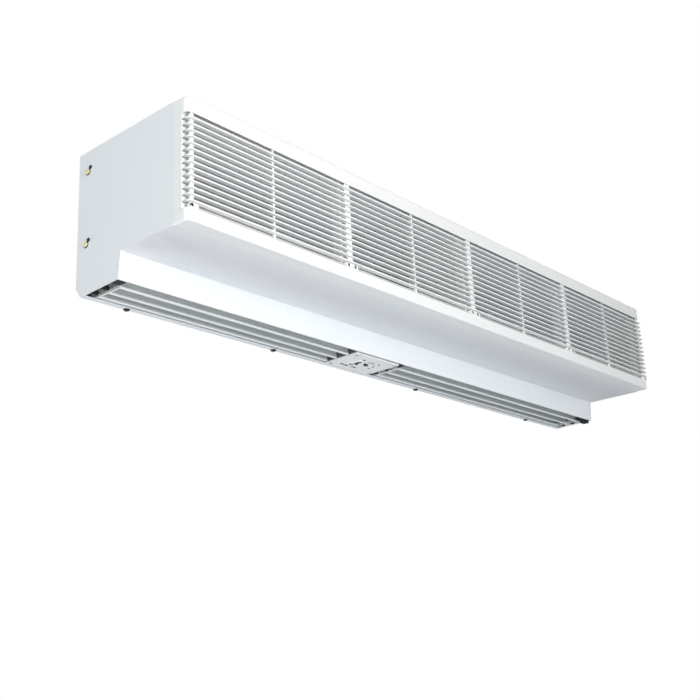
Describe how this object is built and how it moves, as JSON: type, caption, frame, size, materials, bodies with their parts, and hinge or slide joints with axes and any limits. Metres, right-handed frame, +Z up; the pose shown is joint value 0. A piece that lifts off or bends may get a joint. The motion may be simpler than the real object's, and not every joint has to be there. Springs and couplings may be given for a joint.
{
  "type": "air curtain",
  "caption": "Long wall-mounted air curtain: grilled intake box over a narrow outlet duct, cross-flow fan wheels on a shared motor, tilting outlet louvres and a control panel.",
  "frame": {"origin": "centre of the wall bolt pattern, in the wall plane at the back of the wall plate", "axes": "+X along the door, to the right when seen from the room; +Y into the wall; +Z up"},
  "size_m": [1.2056, 0.23, 0.2168],
  "materials": {
    "white_paint": "white powder coat with a faint texture",
    "white_plastic": "white moulded plastic, satin",
    "zinc_sheet": "galvanised sheet",
    "yellow_zinc": "yellow zinc plating",
    "black_steel": "black oxide screws",
    "dark_sheet": "dark grey paint",
    "rubber": "black rubber",
    "foam": "black closed-cell foam",
    "bright_steel": "ground steel",
    "wheel_alloy": "thin aluminium",
    "copper": "varnished copper wire",
    "vane_alloy": "pale grey-green coat",
    "black_plastic": "black moulded plastic",
    "grey_plastic": "grey moulded plastic",
    "ivory_plastic": "ivory moulded plastic",
    "lamp_green": "translucent green, unlit",
    "bronze": "sintered bronze"
  },
  "bodies": {
    "casing": {"wall_plate": "zinc_sheet", "bracket_screws": "yellow_zinc", "back_panel": "zinc_sheet", "top_panel": "white_paint", "side_panel_left": "white_paint", "side_panel_right": "white_paint", "intake_floor_panel": "white_paint", "outlet_front_panel": "white_paint", "outlet_rear_panel": "white_paint", "margin_screws": "black_steel", "front_rail_top": "white_plastic", "front_rail_bottom": "white_plastic", "front_end_strip_left": "white_plastic", "front_end_strip_right": "white_plastic", "front_posts": "white_plastic", "grille_panel_1": "white_plastic", "grille_panel_2": "white_plastic", "grille_panel_3": "white_plastic", "grille_panel_4": "white_plastic", "grille_screws": "black_steel", "end_plate_left": "dark_sheet", "end_plate_right": "dark_sheet", "partition_left": "dark_sheet", "partition_right": "dark_sheet", "end_spacers": "rubber", "scroll_left": "zinc_sheet", "scroll_right": "zinc_sheet", "tongue_left": "foam", "tongue_right": "foam", "motor_stator": "dark_sheet", "motor_windings": "copper", "motor_shell_left": "zinc_sheet", "motor_shell_right": "zinc_sheet", "motor_bearings": "bright_steel", "motor_rubber_rings": "rubber", "motor_cradle": "zinc_sheet", "cradle_screws": "black_steel", "end_bearing_bushes": "bronze", "end_bearing_rubbers": "rubber", "louvre_bushes": "black_plastic", "control_panel": "white_plastic", "control_box": "zinc_sheet", "panel_screws": "bright_steel", "power_switch_body": "white_plastic", "speed_switch_body": "grey_plastic", "indicator_lamps": "lamp_green", "terminal_block": "ivory_plastic", "run_capacitor": "grey_plastic", "cable_grommet": "rubber", "motor_lead": "rubber"},
    "fan": {"fan_wheel_left": "wheel_alloy", "fan_wheel_right": "wheel_alloy", "stub_shafts": "bright_steel", "motor_shaft": "bright_steel", "motor_rotor": "bright_steel", "hub_set_screws": "black_steel"},
    "louvre_left": {"louvre_left": "vane_alloy"},
    "louvre_right": {"louvre_right": "vane_alloy"},
    "power_rocker": {"power_rocker": "black_plastic"},
    "speed_slider": {"speed_slider": "black_plastic"}
  },
  "joints": [
    {"name": "fan_spin", "type": "hinge", "parent": "casing", "child": "fan", "pos_m": [0, -0.088, -0.004], "axis": [1, 0, 0], "continuous": true},
    {"name": "louvre_left_tilt", "type": "hinge", "parent": "casing", "child": "louvre_left", "pos_m": [-0.359, -0.046, -0.112], "axis": [1, 0, 0], "range_deg": [-12, 12]},
    {"name": "louvre_right_tilt", "type": "hinge", "parent": "casing", "child": "louvre_right", "pos_m": [0.2855, -0.046, -0.112], "axis": [1, 0, 0], "range_deg": [-12, 12]},
    {"name": "power_rocker_tilt", "type": "hinge", "parent": "casing", "child": "power_rocker", "pos_m": [-0.0954, -0.055, -0.125], "axis": [1, 0, 0], "range_deg": [0, 16]},
    {"name": "speed_slide", "type": "slide", "parent": "casing", "child": "speed_slider", "axis": [1, 0, 0], "range_m": [-0.004, 0.004]}
  ]
}
